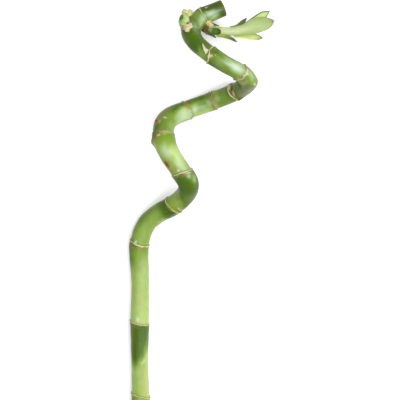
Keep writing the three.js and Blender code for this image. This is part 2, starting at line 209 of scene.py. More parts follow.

# Marks on the skin: what it is, mm along, degrees around, half its length, half its width,
# how many degrees it is turned, and how strong it is. dark and pale change the skin's tone: some
# are its own darker and paler patches, some dark ones are painted shade on the side turned from
# the lamps, and some pale ones are painted highlights. The others lay their colour over it; the
# bloom marks are partly a waxy bloom and partly a painted sheen where the lamps shine on the wax.
# A mark's place in the list also seeds its outline, so a new one goes at the end.
MARKS = [
    ("olive", 6, 320, 10, 7, 0, 0.7),
    ("tan", 5, 56, 9, 4.6, 0, 0.8),
    ("dark", 11, 300, 4, 4, 0, 0.2),
    ("tan", 15.4, 48, 1.6, 2, 0, 0.5),
    ("lime", 19, 0, 6, 3.4, 0, 0.4),
    ("pale", 25, 68, 14, 3.6, 0, 0.12),
    ("pale", 37, 318, 5, 4, 0, 0.1),
    ("tan", 25, 50, 15, 3.4, 0, 0.35),
    ("pale", 41.2, 21, 1.2, 1.2, 0, 0.15),
    ("pale", 42.7, 36, 1, 0.8, 0, 0.25),
    ("bloom_and_painted_sheen", 43, 30, 5, 2.4, 35, 0.14),
    ("olive", 56, 288, 17, 4, 0, 0.5),
    ("pale", 51, 62, 12, 3.6, 0, 0.22),
    ("brown", 69.2, 14, 0.7, 3, 0, 0.6),
    ("olive", 68.8, 320, 1.8, 4, 0, 0.5),
    ("tan", 72.2, 340, 1.2, 5, 0, 0.6),
    ("bloom_and_painted_sheen", 74.6, 351, 1.9, 0.8, 0, 0.8),
    ("tan", 90, 8, 6, 4, 0, 0.2),
    ("lime", 92, 320, 24, 4, 0, 0.16),
    ("cream", 83.2, 61, 3.4, 0.4, -44, 1),
    ("brown", 82, 58, 3.2, 0.35, -44, 0.7),
    ("bloom_and_painted_sheen", 110, 40, 12, 3, 0, 0.1),
    ("dark", 122, 295, 9, 3.5, 0, 0.25),
    ("pale", 117, 48, 8, 4, 0, 0.07),
    ("lime", 124, 345, 5, 8, 0, 0.18),
    ("olive", 127.2, 0, 1.5, 7, 0, 0.6),
    ("dark", 129, 316, 2.2, 3, 0, 0.4),
    ("dark", 127, 318, 5, 3.6, 0, 0.12),
    ("olive", 128.6, 318, 1.8, 2.2, 0, 0.6),
    ("cream", 127.1, 323, 1.3, 0.3, 60, 1),
    ("bloom_and_painted_sheen", 131.5, 337, 1.3, 1, 20, 0.9),
    ("lime", 136, 318, 6, 4, 0, 0.2),
    ("dark", 146, 296, 16, 3.4, 0, 0.2),
    ("pale", 159, 52, 5, 3, 0, 0.12),
    ("lime", 174.5, 345, 4, 5, 0, 0.35),
    ("olive", 174, 330, 4, 6, 0, 0.25),
    ("tan", 175.2, 39, 3.2, 1, -69, 0.5),
    ("cream", 175.1, 37, 2.9, 0.5, -69, 1),
    ("brown", 173.6, 46, 2.5, 0.6, -69, 0.85),
    ("tan", 171.5, 50, 1.8, 2.4, 0, 0.5),
    ("pale", 177.6, 335, 4, 6, 0, 0.1),
    ("dark", 180, 78, 4, 3, 0, 0.14),
    ("lime", 186.1, 30, 8, 9, 0, 0.22),
    ("dark", 184.1, 72, 11, 3.6, 0, 0.22),
    ("bloom_and_painted_sheen", 200.7, 88, 2.4, 1, 30, 0.3),
    ("pale", 201.7, 84, 5, 3, 0, 0.25),
    ("bloom_and_painted_sheen", 204, 70, 1.1, 1.3, 0, 0.45),
    ("rust", 205.9, 56, 0.8, 2, 0, 0.6),
    ("cream", 205.2, 83, 2.8, 0.35, -61, 0.9),
    ("tan", 208.2, 15, 1.4, 4, 0, 0.4),
    ("bloom_and_painted_sheen", 209.5, 40, 0.8, 0.8, 0, 0.6),
    ("olive", 211.2, 10, 4, 2.4, 0, 0.3),
    ("tan", 213.5, 6, 1.2, 1.6, 0, 0.7),
    ("rust", 215.7, 6, 3.4, 2.2, 0, 0.8),
    ("brown", 216.1, 2, 2.5, 1, 0, 0.9),
    ("bloom_and_painted_sheen", 211.2, 76, 6.5, 2.6, 0, 0.36),
    ("bloom_and_painted_sheen", 222.1, 35, 4.6, 2.8, 0, 0.4),
    ("pale", 218.1, 86, 8, 4, 0, 0.22),
    ("lime", 228.7, 50, 5, 10, 0, 0.5),
    ("olive", 231, 350, 4, 4, 0, 0.4),
    ("pale", 227.2, 10, 4, 4, 0, 0.14),
    ("dark", 229.2, 70, 4, 5, 0, 0.1),
    ("tan", 228.7, 340, 3, 2, 0, 0.8),
    ("rust", 232.6, 350, 1.6, 3, 0, 0.7),
    ("brown", 233, 8, 0.9, 3.2, 0, 0.6),
    ("dark", 239.2, 12, 8, 4, 0, 0.24),
    ("pale", 238.2, 112, 7, 3, 0, 0.14),
    ("cream", 232.4, 34, 0.55, 1.5, 10, 1),
    ("tan", 233.5, 75, 1.1, 5, 0, 0.7),
    ("brown", 235.1, 28, 0.4, 4, 0, 0.85),
    ("brown", 233.4, 62, 0.25, 3, 0, 0.5),
    ("brown", 233.8, 36, 0.4, 1.6, 20, 0.7),
    ("cream", 231.6, 66, 0.4, 0.8, 0, 0.6),
    ("cream", 235.9, 88, 0.4, 0.5, 0, 0.7),
    ("rust", 242.1, 23, 3.4, 2, -40, 0.75),
    ("brown", 242.7, 18, 2.4, 0.9, -40, 0.9),
    ("tan", 241.3, 40, 1.4, 1.2, 0, 0.7),
    ("bloom_and_painted_sheen", 245, 66, 0.6, 1.1, 0, 0.9),
    ("dark", 246, 20, 7, 3, 0, 0.08),
    ("olive", 248.9, 42, 5, 3.6, 0, 0.6),
    ("rust", 251.5, 50, 3, 1.2, 30, 0.3),
    ("dark", 259.4, 48, 11, 4.2, 0, 0.4),
    ("bloom_and_painted_sheen", 260.9, 118, 6, 3.2, 0, 0.42),
    ("bloom_and_painted_sheen", 260.9, 140, 8, 4, 0, 0.5),
    ("olive", 266.3, 72, 2.4, 3.8, 15, 0.6),
    ("rust", 266.3, 72, 2, 3.2, 15, 0.45),
    ("dark", 266.5, 45, 5, 3.4, 0, 0.12),
    ("bloom_and_painted_sheen", 271.4, 120, 4.4, 2.4, 0, 0.42),
    ("bloom_and_painted_sheen", 276.7, 128, 5, 2.4, 0, 0.3),
    ("pale", 277.7, 172, 9, 4, 0, 0.3),
    ("dark", 280.7, 104, 4, 3, 0, 0.06),
    ("dark", 276.7, 48, 9, 3.4, 0, 0.22),
    ("olive", 287.1, 95, 2.1, 11, 0, 0.75),
    ("tan", 287.8, 145, 1.4, 4, 0, 0.5),
    ("tan", 289.6, 42, 1.2, 2, 0, 0.6),
    ("brown", 287, 64, 1.1, 1.2, 0, 0.85),
    ("cream", 287.3, 65, 0.4, 0.5, 0, 1),
    ("bloom_and_painted_sheen", 283.1, 112, 2.2, 2.6, 0, 0.22),
    ("bloom_and_painted_sheen", 291.2, 98, 2.4, 2.2, 0, 0.16),
    ("pale", 291.6, 55, 3, 3, 0, 0.14),
    ("ash", 297.7, 55, 3.4, 3, 0, 0.35),
    ("cream", 303.6, 56, 1.7, 2.6, 0, 1),
    ("tan", 304.1, 64, 1.8, 4, 0, 0.5),
    ("tan", 305.3, 110, 1.8, 2.4, 0, 0.8),
    ("brown", 305.7, 80, 1.5, 2.6, 22, 0.95),
    ("brown", 304.8, 104, 0.8, 2, 0, 0.8),
    ("cream", 306.1, 116, 0.6, 3, 20, 1),
    ("brown", 307.6, 122, 0.6, 3.6, 12, 0.8),
    ("brown", 306.7, 180, 1.8, 2, 0, 1),
    ("olive", 309.7, 110, 6, 11, 0, 0.35),
    ("olive", 317.8, 140, 5, 7, 0, 0.6),
    ("dark", 322.7, 148, 5, 7, 0, 0.14),
    ("ash", 313.8, 150, 5, 6, 0, 0.3),
    ("ash", 310, 56, 4, 3, 0, 0.2),
    ("ash", 317.3, 185, 4.5, 5, -45, 0.8),
    ("ash", 318, 228, 2.5, 3, 0, 0.6),
    ("cream", 318.4, 176, 2.6, 0.35, -52, 0.9),
    ("cream", 321.5, 214, 2.3, 0.45, -50, 1),
    ("cream", 319.4, 236, 3, 0.6, 60, 0.9),
    ("cream", 322.5, 214, 0.7, 1.2, 0, 0.9),
    ("brown", 319, 248, 0.5, 3.6, 10, 0.5),
    ("brown", 318.3, 236, 0.5, 3, 0, 0.5),
    ("cream", 320.6, 246, 0.6, 0.9, 0, 0.9),
    ("dark", 325.5, 278, 6, 3.2, 0, 0.3),
    ("lime", 326.2, 206, 4, 6, 0, 0.2),
    ("dark", 327.8, 172, 3, 4, 0, 0.16),
    ("olive", 328, 160, 3, 3, 0, 0.4),
    ("bloom_and_painted_sheen", 328.6, 236, 3, 2.6, 0, 0.3),
    ("tan", 328.1, 160, 1.8, 3, 0, 0.4),
    ("tan", 332, 150, 1.3, 3.4, 0, 0.7),
    ("cream", 331.7, 200, 0.5, 0.9, 0, 1),
    ("cream", 331.1, 221, 0.8, 1.2, 0, 1),
    ("cream", 331.4, 241, 0.6, 0.8, 0, 0.9),
    ("olive", 332.5, 240, 0.5, 5, 0, 0.9),
    ("dark", 332.5, 240, 0.5, 5, 0, 0.35),
    ("bloom_and_painted_sheen", 336.7, 205, 0.6, 0.6, 0, 0.9),
    ("bloom_and_painted_sheen", 336.5, 198, 0.6, 0.6, 0, 0.5),
    ("bloom_and_painted_sheen", 337.3, 223, 6.4, 3.4, 0, 0.72),
    ("bloom_and_painted_sheen", 341.5, 234, 5, 3, 0, 0.35),
    ("ash", 346.9, 165, 4, 3, 0, 0.3),
    ("lime", 348.8, 200, 4, 5, 0, 0.25),
    ("dark", 348.8, 200, 4, 7, 0, 0.12),
    ("pale", 351.2, 222, 0.7, 0.7, 0, 0.5),
    ("tan", 353, 190, 1.2, 3, 0, 0.5),
    ("cream", 353.2, 198, 0.9, 1.8, 20, 0.9),
    ("brown", 354.4, 226, 0.8, 1.6, 0, 0.8),
    ("dark", 351.8, 236, 1.6, 5, 0, 0.2),
    ("pale", 358.4, 165, 3.4, 3.6, 0, 0.22),
    ("lime", 370, 182, 3, 4, 0, 0.1),
    ("pale", 370.5, 250, 4, 3, 0, 0.16),
    ("dark", 358.9, 243, 4, 3.6, 0, 0.25),
    ("olive", 358.5, 235, 3, 2, 0, 0.5),
    ("brown", 376.2, 177, 2, 0.6, -24, 0.8),
    ("bloom_and_painted_sheen", 377, 264, 5, 3, -20, 0.25),
    ("dark", 378.9, 244, 4, 1.6, -30, 0.3),
    ("dark", 381.9, 232, 3.4, 4, 0, 0.26),
    ("olive", 381.9, 236, 3.4, 3.4, 0, 0.4),
    ("bloom_and_painted_sheen", 389, 288, 6.5, 3, -10, 0.42),
    ("dark", 390.9, 208, 3, 2.4, 0, 0.15),
    ("cream", 395.8, 338, 2.4, 2, 0, 0.75),
    ("brown", 392.9, 203, 1.8, 1.6, 0, 1),
    ("brown", 396.4, 210, 1.7, 1.9, 0, 1),
    ("bloom_and_painted_sheen", 398.1, 231, 0.8, 0.9, 0, 0.7),
    ("dark", 398.9, 264, 1.1, 1, 0, 0.45),
    ("bloom_and_painted_sheen", 399.4, 286, 5, 2.6, 0, 0.58),
    ("bloom_and_painted_sheen", 402, 296, 3.2, 2, 0, 0.34),
    ("bloom_and_painted_sheen", 401, 306, 3.6, 2.4, 0, 0.46),
    ("pale", 400.6, 330, 5, 3, 0, 0.28),
    ("dark", 400.9, 230, 6, 2.8, 0, 0.48),
    ("dark", 407.6, 262, 2.4, 9, 0, 0.42),
    ("dark", 404.5, 266, 4.4, 2.2, 0, 0.2),
    ("bloom_and_painted_sheen", 54, 34, 18, 4.4, 0, 0.05),
    ("bloom_and_painted_sheen", 336.6, 264, 3.4, 2.2, 0, 0.34),
]
MARK_WANDER = 0.16
# Marks fade out between these shares of their size, and those of cork more sharply.
MARK_FADE = (0.05, 1.55)
CORK_FADE = (0.6, 1.25)

# The leafy shoot's stem and the withered shoot's stump, near the part's: x, y, z and radius.
# Around the stem, 0 degrees faces the camera and 90 is the side towards the cane's foot.
SHOOT_STEM = [
    (2.5, 134, 16.5, 3.9),
    (5, 130.5, 17, 4.1),
    (8.5, 128.5, 17.2, 3.4),
    (12.5, 128, 17.5, 2.7),
    (18, 127.5, 18, 2.5),
    (23, 127.5, 18.3, 2),
    (26.5, 128, 18.5, 1),
]
WITHERED_SHOOT = [
    (-9.8, 129.3, 27.5, 2.9),
    (-10.3, 132, 26.5, 3.4),
    (-10.1, 135, 25, 3.1),
    (-9.2, 137.5, 23.5, 2.1),
]
SHOOT_SIDES = 72
SHOOT_STEP = 0.22
# Edges of the old scales that lie over each other up a shoot, and the collar above them, in mm.
SHOOT_SCALE_EDGES = (3.2, 4.6, 5.9, 7.1, 8.1)
WITHERED_SCALE_EDGES = (3.4, 5.8)
SHOOT_COLLAR = 9.4
# The dead scales at the leafy shoot's foot reach higher and are painted paler, as if lit, on the
# side at this many degrees; on the side away from it the stem is painted darker with shade.
LIGHT_SCALES_AROUND = 295

# Blades, near the part's, from root to tip: x, y, z, half the width and the degrees wrapped.
# outward is the side that a blade turns to the open air. The front leaf's root goes on down the
# stem as a thin sheath.
BLADES = {
    "leaf_front": dict(outward=(0, 0.1, 1), rows=[
        (14, 127.9, 20.35, 3.6, 150), (18, 127.6, 20.85, 3.5, 145), (22, 127.4, 21.7, 3.3, 120),
        (28, 128.4, 22.4, 3.5, 75), (34, 130.1, 22.5, 5, 55), (41, 131.9, 21.5, 4.8, 45),
        (45.7, 133, 20.5, 3.5, 35), (50, 134.3, 20, 0.4, 10)]),
    "leaf_upper": dict(outward=(-0.1, 0.3, -1), rows=[
        (25, 129, 15.2, 2, 70), (31.5, 131.4, 16, 2.9, 50), (37, 134.6, 16.5, 3.4, 45),
        (42, 138.1, 17, 2.8, 35), (46.8, 141, 17.5, 0.5, 10)]),
    "leaf_lower": dict(outward=(0, -0.4, -1), rows=[
        (23, 125.9, 15.5, 2.4, 70), (29.5, 125, 16, 2.4, 50), (35, 124.3, 16.2, 2.4, 40),
        (39.3, 123.7, 16.5, 1.9, 30), (42.2, 123.5, 16.5, 0.5, 10)]),
    "bract_top": dict(outward=(-0.1, 0.6, 0.8), rows=[
        (20, 130.1, 18.2, 1.2, 90), (23.8, 130.6, 19.4, 1.7, 80), (27.4, 132.7, 20.6, 2, 50),
        (31, 135.9, 20, 0.5, 10)]),
    "bract_bottom": dict(outward=(-0.1, -1, 0.3), rows=[
        (11, 124.7, 18, 2.2, 80), (15.5, 124, 18.5, 2.8, 90), (19.5, 122.9, 18.7, 2.4, 80),
        (22.2, 121.8, 18.8, 1.8, 50), (24.8, 120.6, 19, 0.5, 10)]),
    "shoot_scale_front": dict(outward=(0, 0, 1), rows=[
        (8.5, 127.4, 21.6, 1.9, 70), (11, 127.2, 21.2, 2.2, 80), (12.8, 127.2, 21, 1.7, 60),
        (13.7, 127.4, 20.9, 0.9, 30)]),
    "shoot_scale_top": dict(outward=(0.3, 1, 0), rows=[
        (8.5, 133.2, 17, 2, 60), (10.5, 132.1, 17.2, 1.8, 60), (13, 131.2, 17.5, 0.4, 10)]),
    "shoot_scale_low": dict(outward=(-0.3, -1, 0), rows=[
        (2.3, 127.8, 17, 2.2, 60), (4.7, 126.4, 17.2, 2, 60), (7, 125.2, 17.5, 0.4, 10)]),
    "shoot_scale_low_tip": dict(outward=(-0.3, -1, 0.6), rows=[
        (5.8, 125.7, 20, 1.6, 60), (8.2, 124.8, 19.6, 1.4, 60), (10.8, 123.2, 19.2, 0.5, 10)]),
    "withered_shoot_scale": dict(outward=(-0.7, 0.2, 0.8), rows=[
        (-12.2, 133, 29.4, 1.4, 60), (-12.3, 135, 28.3, 1.8, 70), (-11.8, 137, 26.9, 1, 30)]),
    "withered_tip_left": dict(outward=(-0.6, 0.1, 1), rows=[
        (-10.3, 137.6, 24.4, 2.3, 60), (-10.4, 139.4, 23.8, 2.3, 50), (-9.8, 141.2, 23.2, 1.4, 20)]),
    "withered_tip_right": dict(outward=(0.2, 0.1, 1), rows=[
        (-7.2, 137.4, 23.8, 2, 50), (-6.4, 139.2, 23, 2.2, 60), (-5.7, 140.8, 22.2, 1.1, 20)]),
}
BLADE_ACROSS = 44
BLADE_ALONG = 90
# Veins are this many mm apart, which is as fine as they need to be to show.
VEIN_SPACING = 0.9

# Dry scraps of sheath on the cane, near the part's: mm along, degrees around, half the width.
SCRAPS = {
    "sheath_scrap_bend": [
        (372.8, 214, 0.7), (374, 218, 1.8), (375.5, 223, 2.9), (376.9, 218, 3), (378.2, 225, 1.7),
        (379.4, 232, 0.6)],
    "sheath_scrap_tooth": [(355.7, 207, 1.6), (357.2, 210, 1.2), (359, 218, 0.7), (361.3, 231, 0.3)],
}
SCRAP_ACROSS = 20
SCRAP_STEPS = 24
SCRAP_THICKNESS = 0.28
# How far a scrap stands off the skin in its middle, and more at its sides and its tip.
SCRAP_LIFT = 0.3
SCRAP_SIDE_CURL = 0.35
SCRAP_TIP_CURL = 0.4


def hermite(start, end, start_slope, end_slope, share):
    """A smooth step from start to end, at each share of the way."""
    rise = end - start
    square = 3 * rise - 2 * start_slope - end_slope
    cube = start_slope + end_slope - 2 * rise
    return start + share * (start_slope + share * (square + share * cube))


def smooth_points(points, steps):
    """A centripetal Catmull-Rom curve through points, with steps places for each of them."""
    points = np.array(points, float)
    before, after = 2 * points[0] - points[1], 2 * points[-1] - points[-2]
    knots = np.vstack([before, points, after])
    share = (np.arange(steps) / steps)[:, None]
    parts = []
    for a, b, c, d in zip(knots[:-3], knots[1:-2], knots[2:-1], knots[3:]):
        ab, bc, cd = (math.sqrt(np.linalg.norm(q - p)) for p, q in ((a, b), (b, c), (c, d)))
        start = ((b - a) / ab - (c - a) / (ab + bc) + (c - b) / bc) * bc
        end = ((c - b) / bc - (d - b) / (bc + cd) + (d - c) / cd) * bc
        parts.append(hermite(b, c, start, end, share))
    return np.vstack(parts + [points[-1:]])


def smooth_values(values, steps):
    """Plain numbers, read as smoothly as smooth_points reads a route."""
    values = np.array(values, float)
    slopes = np.gradient(values)
    slopes[0] = (values[1] - values[0]) / 2
    slopes[-1] = (values[-1] - values[-2]) / 2
    share = np.arange(steps) / steps
    parts = []
    for a, b, start, end in zip(values[:-1], values[1:], slopes[:-1], slopes[1:]):
        parts.append(hermite(a, b, start, end, share))
    return np.concatenate(parts + [values[-1:]])


def unit(vectors):
    return vectors / np.linalg.norm(vectors, axis=-1, keepdims=True)


def soft_step(value, start, end):
    """0 before start, 1 after end, and smooth between."""
    share = np.clip((value - start) / (end - start), 0, 1)
    return share * share * (3 - 2 * share)


def wander(turn, seed, waves=6, lowest=2):
    """An uneven number from about -1 to 1 that comes back to itself in a turn of 360 degrees."""
    chance = np.random.default_rng(seed)
    total = np.zeros_like(np.asarray(turn, float))
    for wave in range(lowest, lowest + waves):
        total += np.sin(np.radians(turn) * wave + chance.uniform(0, 2 * np.pi))
    return total / math.sqrt(waves)


def turn_from(around, middle):
    """Degrees from middle to around, from -180 to 180."""
    return (around - middle + 180) % 360 - 180


def skin_across(around, middle):
    """How many millimetres of the cane's skin lie between middle and around."""
    return np.radians(turn_from(around, middle)) * CANE_RADIUS


def swing(around, most, towards, times=1):
    """A number that swings that many times round a stem, and is most at towards."""
    return most * np.cos(times * np.radians(around - towards))


def hump(value, width):
    """1 where value is 0, and nearly 0 from twice the width on."""
    return np.exp(-((value / width) ** 2))


class Route:
    """A round stem's centre-line, with a frame along it that doesn't twist."""

    STEPS_PER_ROW = 80

    def __init__(self, rows):
        rows = np.array(rows, float)
        self.centre = smooth_points(rows[:, :3], self.STEPS_PER_ROW)
        self.radius = smooth_values(rows[:, 3], self.STEPS_PER_ROW)
        reach = np.linalg.norm(np.diff(self.centre, axis=0), axis=1)
        self.along = np.concatenate([[0], np.cumsum(reach)])
        self.length = self.along[-1]
        self.tangent = unit(np.gradient(self.centre, axis=0))
        self.up = np.zeros_like(self.centre)
        up = np.array([0.0, 0.0, 1.0])
        for index, tangent in enumerate(self.tangent):
            up = unit(up - np.dot(up, tangent) * tangent)
            self.up[index] = up

    def row_along(self, row):
        return self.along[row * self.STEPS_PER_ROW]

    def read(self, table, along):
        """Rows of table read at any places along the route."""
        return np.stack([np.interp(along, self.along, column) for column in table.T], -1)

    def radius_at(self, along):
        return np.interp(along, self.along, self.radius)

    def place(self, along, around, reach):
        """Points at that reach from the centre-line, in degrees around it from its up side."""
        up = unit(self.read(self.up, along))
        side = np.cross(unit(self.read(self.tangent, along)), up)
        angle = np.radians(around)[..., None]
        out = np.cos(angle) * up + np.sin(angle) * side
        return self.read(self.centre, along) + np.asarray(reach)[..., None] * out


cane_route = Route(CANE)
ring_places = np.array([cane_route.row_along(ring["row"]) for ring in RINGS])


def ring_line(ring, around):
    """How far a ring's line lies from its row of CANE, all the way round."""
    line = ring["shift"] + swing(around, *ring["lean"]) + swing(around, *ring["wave"], times=2)
    return line + RING_WANDER * wander(around, ring["row"], waves=9, lowest=5)


def loop_places():
    """Places of the skin's loops, before the rings' lines pull them."""
    places = [0.0]
    while places[-1] < cane_route.length:
        near = np.abs(ring_places - places[-1]).min() < FINE_REACH
        places.append(places[-1] + (FINE_STEP if near else COARSE_STEP))
    places[-1] = cane_route.length
    return np.array(places)


def pulled_by_rings(place, around):
    """Moves loops along the cane so that one of them follows each ring's line."""
    along = place + np.zeros_like(around)
    for ring, middle in zip(RINGS, ring_places):
        along = along + hump(place - middle, RING_PULL) * ring_line(ring, around)
    return np.clip(along, 0, cane_route.length)


def ring_stripe(ring, away, around):
    """1 on a ring's line, or on its second line a little less, and 0 off it."""
    width = ring["width"] * (1 + swing(around, *ring["vary"]))
    line = 1 - soft_step(np.abs(away) / width, *STRIPE_FADE)
    if "second" in ring:
        beside = 1 - soft_step(np.abs(away - ring["second"]) / width, *STRIPE_FADE)
        line = np.maximum(line, SECOND_SHARE * beside)
    return line


def ring_groove(ring, away):
    """1 in the two shallow grooves beside a ring's line, and 0 away from them."""
    return hump(np.abs(away) - ring["width"] - GROOVE_WIDTH, GROOVE_WIDTH)


def cane_relief(place, along, around):
    """How far the cane's skin stands out, at its rings, its buds and by its own unevenness."""
    rise = np.zeros_like(along)
    for height, pace, waves in UNEVENNESS:
        rise = rise + height * np.sin(along * pace + np.radians(around) * waves)
    for ring, middle in zip(RINGS, ring_places):
        away = place - middle
        uneven = 1 + RIM_UNEVEN * wander(around, ring["row"] + 50, waves=9, lowest=3)
        below = 1 - soft_step(away, *SWELL_END)
        rise = rise + SWELL_RISE * below * np.exp(np.minimum(away, 0) / SWELL_REACH)
        rise = rise + RIM_RISE * uneven * ring_stripe(ring, away, around)
        rise = rise - GROOVE_DEPTH * ring_groove(ring, away)
    for middle, turn, bud_rise, reach in BUDS:
        rise = rise + bud_rise * hump(np.hypot(along - middle, skin_across(around, turn)), reach)
    return rise


def stretch_tone(place):
    """The tone of the skin between its rings, before edges and marks."""
    ends = np.concatenate([[0], ring_places, [cane_route.length]])
    tone = np.zeros_like(place)
    for start, end, (low, middle, high) in zip(ends[:-1], ends[1:], STRETCH_TONES):
        inside = (place >= start) & (place <= end)
        share = (place - start) / (end - start)
        lower = low + (middle - low) * soft_step(share, 0, 0.5)
        tone = np.where(inside, lower + (high - middle) * soft_step(share, 0.5, 1), tone)
    return tone


def edge_tone(place, along, around):
    """Darker or paler skin beyond where a sheath used to end, up to the next ring."""
    tone = np.zeros_like(along)
    for edge in SHEATH_EDGES:
        rise, point = edge["point"]
        line = edge["along"] + swing(around, *edge["lean"])
        line = line + rise * np.abs(np.sin(np.radians(around - point) / 2))
        line = line + EDGE_WANDER * wander(around, edge["until"])
        beyond = soft_step(along - line, -edge["soft"] / 2, edge["soft"] / 2)
        until = cane_route.row_along(edge["until"])
        tone += edge["change"] * beyond * (place < until)
    return tone


def mark_shape(mark, index, along, around):
    """An oval on the skin with an uneven outline, 1 inside it and 0 outside."""
    kind, middle, turn, half_length, half_width, turned, strength = mark
    ahead = along - middle
    across = skin_across(around, turn)
    angle = math.radians(turned)
    long_way = (ahead * math.cos(angle) + across * math.sin(angle)) / half_length
    wide_way = (across * math.cos(angle) - ahead * math.sin(angle)) / half_width
    direction = np.degrees(np.arctan2(wide_way, long_way))
    outline = 1 + MARK_WANDER * wander(direction, index, waves=5)
    fade = CORK_FADE if kind in ("brown", "cream") else MARK_FADE
    return strength * (1 - soft_step(np.hypot(long_way, wide_way) / outline, *fade))


def show(tones, name, shape):
    """Lays a shape over a tint. Where both are, the stronger is seen."""
    tones[name] = np.maximum(tones[name], shape)


def cane_tones(place, along, around):
    """What the rind's material reads: its tone, the soft tints over it, and its cork."""
    tones = {"tone": stretch_tone(place) + edge_tone(place, along, around)}
    for name in (*RIND_TINTS, "brown", "cream", "fresh"):
        tones[name] = np.zeros_like(along)
    for index, mark in enumerate(MARKS):
        shape = mark_shape(mark, index, along, around)
        # dark marks lower the tone, as darker patches and as painted shade; pale ones raise it, as
        # paler patches and as painted highlights.
        if mark[0] == "dark":
            tones["tone"] -= shape
        elif mark[0] == "pale":
            tones["tone"] += shape
        else:
            show(tones, mark[0], shape)
    for ring, middle in zip(RINGS, ring_places):
        away = place - middle
        uneven = np.clip(0.85 + 0.3 * wander(around, ring["row"] + 20, waves=8), 0.3, 1.1)
        side = ring["width"] + STAIN_WIDTH
        below = ring["brown"][0] * hump(away + side, STAIN_WIDTH)
        above = ring["brown"][1] * hump(away - side - max(ring.get("second", 0), 0), STAIN_WIDTH)
        tones["tone"] -= SHADOW_TONE * ring_groove(ring, away)
        show(tones, "cream", ring["cream"] * ring_stripe(ring, away, around) * uneven)
        show(tones, "brown", (below + above) * uneven)
        show(tones, "tan", TAN_TONE * hump(away, TAN_WIDTH))
        tones["fresh"] += ring["fresh"] * np.exp(-((away / FRESH_REACH) ** 4))
    near_cut = hump(cane_route.length - along, NEAR_CUT_REACH) * (0.75 + 0.4 * wander(around, 5))
    tones["tone"] -= NEAR_CUT_TONE * near_cut
    show(tones, "olive", NEAR_CUT_TONE * near_cut)
    return tones


def add_object(name, points, faces, tones, straight, materials, face_materials=None):
    """A smooth mesh from points in millimetres, with the numbers that its materials read."""
    mesh = bpy.data.meshes.new(name)
    mesh.from_pydata((points * MM).tolist(), [], faces)
    for tone_name, values in tones.items():
        attribute = mesh.attributes.new(tone_name, "FLOAT", "POINT")
        attribute.data.foreach_set("value", np.asarray(values, np.float32).ravel())
    attribute = mesh.attributes.new("straight", "FLOAT_VECTOR", "POINT")
    attribute.data.foreach_set("vector", np.asarray(straight, np.float32).ravel())
    for material in materials:
        mesh.materials.append(material)
    if face_materials is not None:
        mesh.polygons.foreach_set("material_index", np.asarray(face_materials, np.int32))
    mesh.shade_smooth()
    made = bpy.data.objects.new(name, mesh)
    bpy.context.scene.collection.objects.link(made)
    return made


def tube_quads(loops, sides):
    """The quads between the loops of a tube, as numbers of its points."""
    corner = np.arange(loops * sides).reshape(loops, sides)
    after = np.roll(corner, -1, axis=1)
    return np.stack([corner[:-1], after[:-1], after[1:], corner[1:]], -1).reshape(-1, 4)


def looks_inwards(points, quads):
    """Whether a closed body's faces look inwards, from the volume that its quads enclose."""
    a, b, c, d = (points[quads[:, corner]] for corner in range(4))
    return (np.cross(c - a, d - b) * (a + b + c + d)).sum() < 0


def make_piece(name, node, grid, tones, straight, materials, face_materials=None):
    """A closed body from a grid of loops. It rides on the part and stands for a node of it."""
    loops, sides = grid.shape[:2]
    points = grid.reshape(-1, 3)
    quads = tube_quads(loops, sides)
    first, last = list(range(sides)), list(range(len(points) - sides, len(points)))
    faces = quads.tolist() + [first[::-1], last]
    if looks_inwards(points, quads):
        faces = [face[::-1] for face in faces]
    made = add_object(name, points, faces, tones, straight.reshape(-1, 3), materials, face_materials)
    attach(made, BODY)
    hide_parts(node)


# How a cut across the cane goes from its rim to its middle: share of the radius, and mm inwards.
CUT_PROFILE = [(0.985, -0.12), (0.94, -0.02), (0.88, 0.12), (0.8, 0.2), (0.65, 0.3),
               (0.5, 0.35), (0.35, 0.38), (0.2, 0.4), (0.08, 0.4)]
CUT_ROUGHNESS = 0.05


def cut_loops(along, inwards, around, seed):
    """Loops of points over a cut across the cane, from the rim to the middle."""
    loops, straights = [], []
    rough = CUT_ROUGHNESS * wander(around, seed, waves=10, lowest=5)
    for share, depth in CUT_PROFILE:
        reach = cane_route.radius_at(along) * share + 0 * around
        sunk = along + inwards * (depth + rough * (1 - share))
        loops.append(cane_route.place(np.clip(sunk, 0, cane_route.length), around, reach))
        straights.append(straight_place(sunk, around, reach))
    return np.array(loops), np.array(straights)


def straight_place(along, around, reach):
    """Where a point of a stem would be if the stem were straight, for its grain to follow it."""
    angle = np.radians(around)
    reach = reach + np.zeros_like(angle)
    return np.stack([reach * np.cos(angle), reach * np.sin(angle), along + np.zeros_like(angle)], -1)


def make_cane():
    around_once = np.arange(CANE_SIDES) * 360 / CANE_SIDES
    places = loop_places()
    place, around = np.meshgrid(places, around_once, indexing="ij")
    along = pulled_by_rings(place, around)
    reach = cane_route.radius_at(along) + cane_relief(place, along, around)
    skin = cane_route.place(along, around, reach)
    straight = straight_place(along, around, reach)
    tones = cane_tones(place, along, around)
    foot, foot_straight = cut_loops(0, 1, around_once, 1)
    top, top_straight = cut_loops(cane_route.length, -1, around_once, 2)
    grid = np.concatenate([foot[::-1], skin, top])
    grid[..., 2] = np.maximum(grid[..., 2], 0)
    straights = np.concatenate([foot_straight[::-1], straight, top_straight])
    cut_rows = len(CUT_PROFILE)
    padded = {}
    for tone_name, values in tones.items():
        padded[tone_name] = np.pad(values, ((cut_rows, cut_rows), (0, 0)), mode="edge")
    face_rows = np.zeros(len(grid) - 1, int)
    face_rows[:cut_rows] = 1
    face_rows[-cut_rows:] = 2
    face_materials = np.concatenate([np.repeat(face_rows, CANE_SIDES), [1, 2]])
    materials = [cane_rind(), cut_pith("cut_pith_foot", age=0.25), cut_pith("cut_pith_top", age=0.8)]
    make_piece("cane_skin", "cane", grid, padded, straights, materials,
               face_materials)


